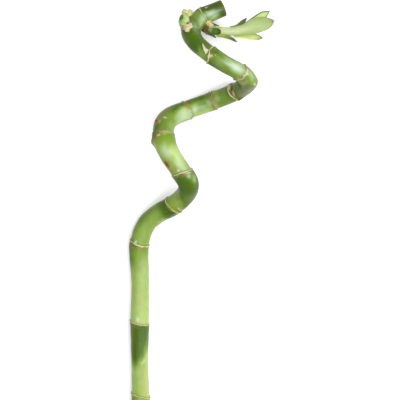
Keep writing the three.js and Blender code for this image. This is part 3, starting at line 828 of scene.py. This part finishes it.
def stem_grid(route, relief):
    """Loops of a shoot's stem, with relief(along, around) added to its radius."""
    places = np.arange(0, route.length, SHOOT_STEP)
    around_once = np.arange(SHOOT_SIDES) * 360 / SHOOT_SIDES
    along, around = np.meshgrid(places, around_once, indexing="ij")
    reach = route.radius_at(along) + relief(along, around)
    return route.place(along, around, reach), straight_place(along, around, reach), along, around


def scale_edge(away, thickness, taper=1):
    """An old scale, thickest at its edge where away is 0. It tapers off over taper mm below."""
    return thickness * np.exp(-np.clip(-away, 0, None) / taper) * (away < 0)


def shoot_base_relief(along, around):
    """Old scales in rings around the shoot's base, each lying over the next, then a smooth stem."""
    rise = np.zeros_like(along)
    for index, middle in enumerate(SHOOT_SCALE_EDGES):
        away = along - (middle + 0.45 * wander(around, 70 + index, waves=5, lowest=1))
        rise += scale_edge(away, 0.4, 0.9)
        rise -= 0.1 * (away > 0) * np.exp(-away)
    rise += 0.45 * hump(along - SHOOT_COLLAR - swing(around, 0.3, 40), 0.8)
    rise += 0.03 * np.sin(np.radians(around) * 24) * soft_step(along, 9, 12)
    return rise


def make_shoot_stem():
    grid, straight, along, around = stem_grid(Route(SHOOT_STEM), shoot_base_relief)
    towards_light = swing(around, 1, LIGHT_SCALES_AROUND)
    dead_until = 6.2 + 2.2 * soft_step(towards_light, 0, 0.8) + 0.5 * wander(around, 81)
    # tone paints shade on the stem's side away from the lamps, and light paints the dead scales
    # paler on the side they face.
    tones = {
        "tone": 0.1 + 0.4 * soft_step(along, 6, 11) + 0.35 * soft_step(along, 9, 20)
        - 0.2 * soft_step(-towards_light, 0.3, 1),
        "brown": 1 - soft_step(along - dead_until, -0.6, 0.6),
        "light": soft_step(towards_light + 0.15 * wander(along * 60 + around, 83), 0.2, 0.75),
        "rim": 0.8 * hump(along - dead_until - 1.2, 1),
    }
    make_piece("shoot_stem_sheath", "shoot_stem", grid, tones, straight, [shoot_sheath()])


def withered_relief(along, around):
    rise = 0.12 * wander(around, 90, waves=5) * soft_step(along, 0, 3)
    for index, middle in enumerate(WITHERED_SCALE_EDGES):
        away = along - middle - 0.4 * wander(around, 91 + index, waves=4, lowest=1)
        rise += scale_edge(away, 0.3)
    return rise


def make_withered_shoot():
    grid, straight, along, around = stem_grid(Route(WITHERED_SHOOT), withered_relief)
    patches = wander(around + 25 * along, 95, waves=4)
    tones = {
        "tone": 0.48 + 0.16 * patches + 0.2 * soft_step(turn_from(around, 60), -60, 0),
        "brown": 0.6 * soft_step(along + wander(around, 96), 6.5, 9),
        "light": np.ones_like(along),
        "rim": np.zeros_like(along),
    }
    make_piece("withered_shoot_stump", "withered_shoot", grid, tones, straight,
               [shoot_sheath()])


def both_faces(steps):
    """Places across a thin blade, from -1 to 1 over its outer face and back under its inner one."""
    across = np.linspace(-1, 1, steps)
    return np.concatenate([across, across[::-1]]), np.repeat([1, -1], steps)


def blade_grid(rows, outward, thickness, rim_thickness, tear=0, seed=0, keel=0, root=1):
    """Loops of a thin blade, each once over its outer face and back under its inner one.

    tear is how raggedly it ends, as a share of its length. keel is how far its midrib stands out.
    root is how thick its root is, as a share of its thickness.
    """
    rows = np.array(rows, float)
    steps = BLADE_ALONG // (len(rows) - 1)
    midrib = smooth_points(rows[:, :3], steps)
    half_width = smooth_values(rows[:, 3], steps)
    half_wrap = np.radians(smooth_values(rows[:, 4], steps)) / 2
    share = np.linspace(0, 1, len(midrib))
    half_width = half_width * (1 - 0.75 * soft_step(share, 0.93, 1))
    tangent = unit(np.gradient(midrib, axis=0))
    away = np.array(outward, float)
    away = unit(away - (tangent @ away)[:, None] * tangent)
    side = np.cross(tangent, away)
    table = np.hstack([midrib, away, side, half_width[:, None], half_wrap[:, None]])
    across, face = both_faces(BLADE_ACROSS)
    ragged = tear * (0.5 + 0.5 * wander(across * 160, seed, waves=10, lowest=3))
    reach = share[:, None] * (1 - np.clip(ragged, 0, 1))[None, :]
    read = np.stack([np.interp(reach, share, column) for column in table.T], -1)
    spine, out, sideways = read[..., 0:3], read[..., 3:6], read[..., 6:9]
    width, wrap = read[..., 9], read[..., 10]
    width = width * (1 + tear * 0.3 * wander(reach * 300 + 90 * np.sign(across), seed + 1))
    thin = rim_thickness + (thickness - rim_thickness) * np.sqrt(1 - np.clip(across**2, 0, 1))
    thin = thin * (1 - 0.55 * soft_step(reach, 0.8, 1))
    thin = thin * (root + (1 - root) * soft_step(reach, 0, 0.3))
    lift = face * thin / 2 + keel * hump(across, 0.12) * (1 - reach)
    bend = width / wrap
    angle = wrap * across
    radius = (bend + lift)[..., None]
    arm = np.cos(angle)[..., None] * out + np.sin(angle)[..., None] * sideways
    grid = spine - bend[..., None] * out + radius * arm
    length = np.linalg.norm(np.diff(midrib, axis=0), axis=1).sum()
    straight = np.stack([across * width, face * 0.5 + 0 * reach, reach * length], -1)
    # side is painted shade, darker towards both of the blade's edges.
    tones = {
        "reach": reach,
        "edge": (1 - np.abs(across)) * width,
        "side": across**2 * soft_step(reach, 0.15, 0.5),
    }
    return grid, straight, tones


def make_leaf(name, material, thickness=0.8, rim_thickness=0.28, slot="young_leaf", **more):
    blade = BLADES[name]
    grid, straight, tones = blade_grid(
        blade["rows"], blade["outward"], thickness, rim_thickness, **more)
    make_piece(name + "_blade", name, grid, tones, straight, [material])


def make_scrap(name, material, tear, seed):
    """A dry scrap of sheath that hugs the cane's skin, with its free edges standing off it."""
    rows = np.array(SCRAPS[name], float)
    along, around, half_width = (smooth_values(column, SCRAP_STEPS) for column in rows.T)
    share = np.linspace(0, 1, len(along))
    across, face = both_faces(SCRAP_ACROSS)
    ragged = np.clip(tear * (0.5 + 0.5 * wander(across * 160, seed, waves=9)), 0, 0.8)
    reach = share[:, None] * (1 - ragged)[None, :]
    width = np.interp(reach, share, half_width)
    turn = np.degrees(width / CANE_RADIUS)
    turn = turn * (1 + tear * 0.6 * wander(reach * 300 + 90 * np.sign(across), seed + 1, waves=8))
    places = np.interp(reach, share, along)
    turns = np.interp(reach, share, around) + turn * across
    curl = SCRAP_LIFT + SCRAP_SIDE_CURL * across**2 + SCRAP_TIP_CURL * soft_step(reach, 0.7, 1)
    lift = curl + face * SCRAP_THICKNESS / 2 + 0.08 * wander(turns * 9, seed + 3)
    radius = cane_route.radius_at(places) + cane_relief(places, places, turns) + lift
    grid = cane_route.place(places, turns, radius)
    straight = np.stack([across * width, 0 * reach, places], -1)
    tones = {"reach": reach, "edge": (1 - np.abs(across)) * 2 + 0 * reach}
    make_piece(name + "_paper", name, grid, tones, straight, [material])


# Materials. A Mix node's colours go in and come out at these sockets.
MIX_UNDER = 6
MIX_OVER = 7
MIX_RESULT = 2


def hex_colour(code):
    """An sRGB hex value as a linear colour."""
    parts = [int(code[place:place + 2], 16) / 255 for place in (1, 3, 5)]
    linear = [p / 12.92 if p <= 0.04045 else ((p + 0.055) / 1.055) ** 2.4 for p in parts]
    return (*linear, 1.0)


def add_node(tree, kind, inputs=None, **settings):
    """Adds a shader node with its settings.

    inputs gives each socket a number, a vector, a hex colour or another node's output.
    """
    node = tree.nodes.new("ShaderNode" + kind)
    for field, value in settings.items():
        setattr(node, field, value)
    for socket, value in (inputs or {}).items():
        if isinstance(value, bpy.types.NodeSocket):
            tree.links.new(value, node.inputs[socket])
        else:
            plain = hex_colour(value) if isinstance(value, str) else value
            node.inputs[socket].default_value = plain
    return node


def new_material(name):
    material = bpy.data.materials.new(name)
    material.use_nodes = True
    material.node_tree.nodes.clear()
    return material, material.node_tree


def finish_material(material, inputs):
    """Ends a material in a shader with these inputs."""
    shader = add_node(material.node_tree, "BsdfPrincipled", inputs)
    add_node(material.node_tree, "OutputMaterial", {"Surface": shader.outputs[0]})
    return material


def finish_plant(material, colour, rough, normal, glow, glow_reach, ior=1.5, gloss=0.5):
    """Ends a plant's material. The share glow of the light goes in, as far as glow_reach in mm."""
    return finish_material(material, {
        "Base Color": colour, "Roughness": rough, "Normal": normal, "IOR": ior,
        "Specular IOR Level": gloss, "Subsurface Weight": glow, "Subsurface Radius": glow_reach,
        "Subsurface Scale": MM})


def read_tone(tree, name):
    return add_node(tree, "Attribute", attribute_name=name).outputs["Fac"]


def straight_of(tree):
    """Where the point would be on the straightened piece."""
    return add_node(tree, "Attribute", attribute_name="straight").outputs["Vector"]


def grain(tree, scale, detail=3, roughness=0.6):
    """Noise over the straightened piece: scale is in patches per mm, across, through and along."""
    place = {0: straight_of(tree), 1: scale}
    stretched = add_node(tree, "VectorMath", place, operation="MULTIPLY").outputs[0]
    inputs = {"Vector": stretched, "Scale": 1.0, "Detail": detail, "Roughness": roughness}
    return add_node(tree, "TexNoise", inputs).outputs["Fac"]


def math_of(tree, operation, *values, clamp=False):
    """What a Math node makes of values, kept from 0 to 1 if clamp is true."""
    inputs = dict(enumerate(values))
    return add_node(tree, "Math", inputs, operation=operation, use_clamp=clamp).outputs[0]


def sum_of(tree, first, second, weight, offset=0.0):
    """first + weight * second + offset, kept from 0 to 1."""
    scaled = math_of(tree, "MULTIPLY_ADD", second, weight, offset)
    return math_of(tree, "ADD", first, scaled, clamp=True)


def ranged(tree, value, low, high, **settings):
    """0 where value is low, 1 where it is high, and in proportion between."""
    inputs = {"Value": value, "From Min": low, "From Max": high}
    return add_node(tree, "MapRange", inputs, **settings).outputs[0]


def ramp(tree, value, *stops):
    """A colour for each value, from stops in order: each where it is from 0 to 1, and its hex."""
    node = add_node(tree, "ValToRGB", {"Fac": value})
    elements = node.color_ramp.elements
    for index, (place, code) in enumerate((stops[0], stops[-1])):
        elements[index].position = place
        elements[index].color = hex_colour(code)
    for place, code in stops[1:-1]:
        elements.new(place).color = hex_colour(code)
    return node.outputs["Color"]


def bump(tree, height, strength, depth):
    """Fine relief that only the light shows. depth is in mm."""
    inputs = {"Height": height, "Strength": strength, "Distance": depth * MM}
    return add_node(tree, "Bump", inputs).outputs[0]


def mixed(tree, share, under, over):
    """The colour over laid on the colour under, by share."""
    inputs = {0: share, MIX_UNDER: under, MIX_OVER: over}
    return add_node(tree, "Mix", inputs, data_type="RGBA").outputs[MIX_RESULT]


def broken(tree, mask, noise, hardness):
    """A mask whose outline is broken up by noise."""
    spread = math_of(tree, "SUBTRACT", noise, 0.5)
    rough = math_of(tree, "MULTIPLY_ADD", spread, 1.1, mask)
    soft = ranged(tree, rough, 0.5 - 0.5 / hardness, 0.5 + 0.5 / hardness,
                  interpolation_type="SMOOTHSTEP")
    return math_of(tree, "MULTIPLY", soft, mask, clamp=True)


# Soft tints in the rind, each laid over the ones before it.
RIND_TINTS = {
    "olive": "#666332",
    "lime": "#748c28",
    "tan": "#9a8b66",
    "ash": "#717362",
    "rust": "#7a591e",
    # Partly the wax's own bloom and partly a painted sheen where the lamps shine on the rind.
    "bloom_and_painted_sheen": "#a4b49e",
}


def cane_rind():
    """The living rind of a dracaena cane: smooth, with a thin wax that gives a soft wide shine.

    Fine fibres run along it, with small pale pores. The rings and scars are cork: dry and dull.
    """
    material, tree = new_material("dracaena_cane_rind")
    fibres = grain(tree, (3.2, 3.2, 0.12), detail=4)
    mottle = grain(tree, (0.35, 0.35, 0.2), detail=4)
    cork = grain(tree, (2.4, 2.4, 2.4), detail=4, roughness=0.7)
    pores = ranged(tree, grain(tree, (1.5, 1.5, 0.9), detail=2), 0.64, 0.88)
    tone = sum_of(tree, read_tone(tree, "tone"), fibres, 0.12, -0.06)
    tone = sum_of(tree, tone, mottle, 0.16, -0.08)
    colour = ramp(tree, tone, (0.0, "#33430d"), (0.25, "#3a540a"), (0.5, "#61772d"),
                  (0.75, "#8b9d5b"), (1.0, "#9cae81"))
    colour = mixed(tree, pores, colour, "#93a26a")
    for name, code in RIND_TINTS.items():
        colour = mixed(tree, read_tone(tree, name), colour, code)
    brown = broken(tree, read_tone(tree, "brown"), cork, 2.0)
    stain = ramp(tree, cork, (0.25, "#2c2009"), (0.5, "#4e3a17"), (0.75, "#7a5c2e"))
    colour = mixed(tree, brown, colour, stain)
    cream = broken(tree, read_tone(tree, "cream"), cork, 2.5)
    dry_cork = ramp(tree, cork, (0.2, "#88724b"), (0.5, "#a59b77"), (0.8, "#b7b29d"))
    ring_cork = mixed(tree, read_tone(tree, "fresh"), dry_cork, "#a3a870")
    colour = mixed(tree, cream, colour, ring_cork)
    dry = math_of(tree, "MAXIMUM", brown, cream)
    rough = sum_of(tree, dry, fibres, 0.12, 0.3)
    height = math_of(tree, "MULTIPLY", dry, cork)
    height = math_of(tree, "MULTIPLY_ADD", fibres, 0.12, height)
    return finish_plant(material, colour, rough, bump(tree, height, 0.6, 0.3),
                        0.12, (1.2, 1.6, 0.5), ior=1.45, gloss=0.2)


# The pith ends in a thin rind, between these distances from the cane's middle.
PITH_END = 5.0
RIND_START = 5.5
BUNDLES_PER_MM = 1.8


def cut_pith(name, age):
    """The pith of a cut cane: pale and fibrous with the ends of its bundles, browner with age."""
    material, tree = new_material(name)
    apart = add_node(tree, "SeparateXYZ", {0: straight_of(tree)})
    flat = add_node(tree, "CombineXYZ", {0: apart.outputs[0], 1: apart.outputs[1]}).outputs[0]
    from_middle = add_node(tree, "VectorMath", {0: flat}, operation="LENGTH").outputs["Value"]
    bundles = add_node(tree, "TexVoronoi", {"Vector": flat, "Scale": BUNDLES_PER_MM})
    from_bundle = bundles.outputs["Distance"]
    stain = grain(tree, (0.7, 0.7, 0.7), detail=4)
    aged = math_of(tree, "ADD", stain, age - 0.5, clamp=True)
    colour = ramp(tree, aged, (0.2, "#a7a880"), (0.55, "#92865a"), (0.9, "#5c4e29"))
    colour = mixed(tree, ranged(tree, from_bundle, 0.32, 0.12), colour, "#6a5c34")
    colour = mixed(tree, ranged(tree, from_middle, PITH_END, RIND_START), colour, "#435a21")
    return finish_plant(material, colour, 0.75, bump(tree, from_bundle, 0.7, 0.2),
                        0.1, (1.5, 1.2, 0.6))


def leaf_blade(name, root, middle, end, rim, rim_from, shine=0.42, gloss=0.35, rim_width=1):
    """A young leaf blade: thin and fleshy, so light glows in it, with fine veins side by side.

    root, middle and end are its colours along it, and rim is the tough edge round its tip, painted
    dark enough to stand for the shade at the blade's outline as well.
    """
    material, tree = new_material(name)
    across = add_node(tree, "SeparateXYZ", {0: straight_of(tree)}).outputs[0]
    wave = math_of(tree, "MULTIPLY", across, 2 * math.pi / VEIN_SPACING)
    veins = math_of(tree, "SINE", wave)
    streaks = grain(tree, (2.5, 1.0, 0.1))
    patches = grain(tree, (0.3, 0.3, 0.12))
    reach = read_tone(tree, "reach")
    share = sum_of(tree, reach, patches, 0.5, -0.25)
    base = ramp(tree, share, (0.2, root), (0.6, middle), (0.95, end))
    dark = math_of(tree, "MULTIPLY_ADD", veins, 0.5, 0.5)
    dark = math_of(tree, "MULTIPLY", dark, streaks)
    # Painted shade towards the blade's edges darkens it further.
    dark = sum_of(tree, read_tone(tree, "side"), dark, 0.6)
    dark = math_of(tree, "MULTIPLY", dark, 0.6)
    colour = mixed(tree, dark, base, end)
    edge = ranged(tree, read_tone(tree, "edge"), rim_width, 0.35 * rim_width)
    edge = math_of(tree, "MULTIPLY", edge, ranged(tree, reach, rim_from, rim_from + 0.4))
    rimmed = math_of(tree, "MAXIMUM", edge, ranged(tree, reach, 0.86, 1.0))
    rimmed = math_of(tree, "MULTIPLY", rimmed, 0.85)
    colour = mixed(tree, rimmed, colour, rim)
    height = math_of(tree, "MULTIPLY_ADD", veins, 0.5, streaks)
    return finish_plant(material, colour, shine, bump(tree, height, 0.35, 0.12),
                        0.5, (0.7, 0.9, 0.3), ior=1.42, gloss=gloss)


def shoot_sheath():
    """Rolled leaf bases around a shoot: pale and juicy, with brown dead scales at the foot."""
    material, tree = new_material("shoot_sheath")
    streaks = grain(tree, (2.2, 2.2, 0.25), detail=4)
    patches = grain(tree, (0.5, 0.5, 0.4))
    tone = sum_of(tree, read_tone(tree, "tone"), streaks, 0.35, -0.17)
    green = ramp(tree, tone, (0.0, "#384712"), (0.25, "#5a7530"), (0.6, "#8b9a58"),
                 (1.0, "#a2ab7c"))
    # light paints the dead scales paler where the lamps face them.
    streaked_and_painted_lit = sum_of(tree, streaks, read_tone(tree, "light"), 0.4, -0.12)
    dead = ramp(tree, streaked_and_painted_lit, (0.2, "#27230a"), (0.4, "#433f17"), (0.62, "#786c3b"),
                (0.85, "#aca277"))
    brown = broken(tree, read_tone(tree, "brown"), patches, 1.6)
    colour = mixed(tree, brown, green, dead)
    colour = mixed(tree, read_tone(tree, "rim"), colour, "#66773a")
    rough = sum_of(tree, brown, streaks, 0.2, 0.3)
    return finish_plant(material, colour, rough, bump(tree, streaks, 0.6, 0.25),
                        0.2, (1.4, 1.8, 0.5), ior=1.42)


def dry_scale(name, darkest, middle, palest, glow=0.1):
    """A dead scale or scrap of sheath: papery, dull and streaked along its fibres."""
    material, tree = new_material(name)
    streaks = grain(tree, (3.0, 3.0, 0.3), detail=4, roughness=0.7)
    spots = grain(tree, (1.2, 1.2, 0.9))
    tone = sum_of(tree, streaks, spots, 0.5, -0.25)
    colour = ramp(tree, tone, (0.25, darkest), (0.5, middle), (0.8, palest))
    return finish_plant(material, colour, 0.8, bump(tree, streaks, 0.8, 0.25),
                        glow, (1.5, 1.2, 0.8))


FLOOR_HALF = 2000
# The paper is very faintly cloudy, with this many patches from one side to the other.
PAPER_PATCHES = 900


def make_floor():
    """A sheet of white matt paper."""
    half = FLOOR_HALF * MM
    mesh = bpy.data.meshes.new("paper_floor")
    corners = [(-half, -half, 0), (half, -half, 0), (half, half, 0), (-half, half, 0)]
    mesh.from_pydata(corners, [], [(0, 1, 2, 3)])
    material, tree = new_material("white_matt_paper")
    cloudy = add_node(tree, "TexNoise", {"Scale": PAPER_PATCHES, "Detail": 3.0}).outputs["Fac"]
    colour = mixed(tree, cloudy, "#ebebeb", "#eeeeee")
    finish_material(material, {"Base Color": colour, "Roughness": 1.0, "Specular IOR Level": 0.0})
    mesh.materials.append(material)
    floor = bpy.data.objects.new("paper_floor", mesh)
    bpy.context.scene.collection.objects.link(floor)


# Lamps: degrees from +X towards +Y, degrees up, distance, side of the square, watts, colour.
LAMPS = [
    ("overhead_soft_box", 20, 76, 1000, 1200, 23, "#ffffff"),
    ("right_soft_box", 5, 38, 900, 500, 4, "#fdfdff"),
    ("left_soft_box", 172, 34, 800, 500, 0.6, "#eef5ff"),
]
SKY_COLOUR = "#fafbff"
SKY_STRENGTH = 0.3


def make_lamps():
    target = Vector(CAMERA_TARGET) * MM
    for name, azimuth, height, distance, side, watts, colour in LAMPS:
        data = bpy.data.lights.new(name, "AREA")
        data.shape = "SQUARE"
        data.size = side * MM
        data.energy = watts
        data.color = hex_colour(colour)[:3]
        lamp = bpy.data.objects.new(name, data)
        turn, rise = math.radians(azimuth), math.radians(height)
        level = math.cos(rise)
        towards = Vector((math.cos(turn) * level, math.sin(turn) * level, math.sin(rise)))
        lamp.location = target + towards * distance * MM
        lamp.rotation_euler = (-towards).to_track_quat("-Z", "Y").to_euler()
        bpy.context.scene.collection.objects.link(lamp)
    world = bpy.data.worlds.new("studio")
    world.use_nodes = True
    sky = world.node_tree.nodes["Background"]
    sky.inputs["Color"].default_value = hex_colour(SKY_COLOUR)
    sky.inputs["Strength"].default_value = SKY_STRENGTH
    bpy.context.scene.world = world


def make_shoot_blades():
    # The front leaf's pale root stands partly for a painted highlight there.
    front = leaf_blade("front_leaf_blade", "#a8b087", "#889660", "#73844c", "#343c24", 0.7,
                       rim_width=1.2)
    # The upper and lower leaves are painted paler than the front leaf: painted light that makes up
    # for the front leaf's shadow on them.
    upper = leaf_blade("upper_leaf_blade", "#93a15f", "#a0ae6b", "#94a461", "#3f482c", 0.15,
                       rim_width=1.4)
    lower = leaf_blade("lower_leaf_blade", "#c0cb78", "#b2bd7a", "#87975b", "#30371f", 0.55,
                       rim_width=2.4)
    bract = leaf_blade("bract_blade", "#8f9b46", "#66733a", "#47502a", "#333b22", 0.6)
    tough = leaf_blade("tough_bract_blade", "#6e8143", "#55672f", "#3d472c", "#262e16", 0.4)
    dark = leaf_blade("green_scale_blade", "#3a5519", "#263e10", "#1c3508", "#1a3008", 0.3,
                      shine=0.55, gloss=0.12)
    bud = leaf_blade("green_bud_blade", "#44661f", "#355818", "#3d5c1c", "#4c6b28", 0.3,
                     shine=0.5, gloss=0.2)
    brown = dry_scale("dead_brown_scale", "#291d0a", "#51421e", "#877345")
    olive = dry_scale("dying_olive_scale", "#1e2209", "#3b4119", "#6b6a3c")
    fuzz = dry_scale("bleached_papery_tip", "#aba871", "#c2be90", "#d6d2ae", glow=0.3)
    curl = dry_scale("curled_papery_tip", "#716a2e", "#9d9d62", "#b3b686", glow=0.2)
    scrap = dry_scale("dry_papery_sheath", "#7d6a40", "#bdb084", "#cfc6a0", glow=0.2)
    tooth = dry_scale("bleached_sheath_tooth", "#848869", "#a2a78c", "#b6bba2", glow=0.2)
    make_leaf("leaf_front", front, keel=0.12, root=0.35)
    make_leaf("leaf_upper", upper, keel=0.1)
    make_leaf("leaf_lower", lower, keel=0.1)
    make_leaf("bract_top", tough, thickness=1)
    make_leaf("bract_bottom", bract)
    make_leaf("shoot_scale_front", dark, slot="dark_scale")
    make_leaf("withered_shoot_scale", bud, slot="dark_scale")
    for seed, name, material in ((30, "shoot_scale_top", brown), (31, "shoot_scale_low", olive),
                                 (32, "shoot_scale_low_tip", olive)):
        make_leaf(name, material, thickness=0.6, rim_thickness=0.2, slot="brown_scale",
                  tear=0.3, seed=seed)
    for seed, name, material, tear in ((40, "withered_tip_left", fuzz, 0.5),
                                       (41, "withered_tip_right", curl, 0.45)):
        make_leaf(name, material, thickness=0.5, rim_thickness=0.15, slot="dry_sheath",
                  tear=tear, seed=seed)
    make_scrap("sheath_scrap_bend", scrap, tear=0.25, seed=60)
    make_scrap("sheath_scrap_tooth", tooth, tear=0.15, seed=61)


bpy.context.scene.view_settings.view_transform = "Standard"
make_cane()
make_shoot_stem()
make_withered_shoot()
make_shoot_blades()
make_floor()
make_lamps()
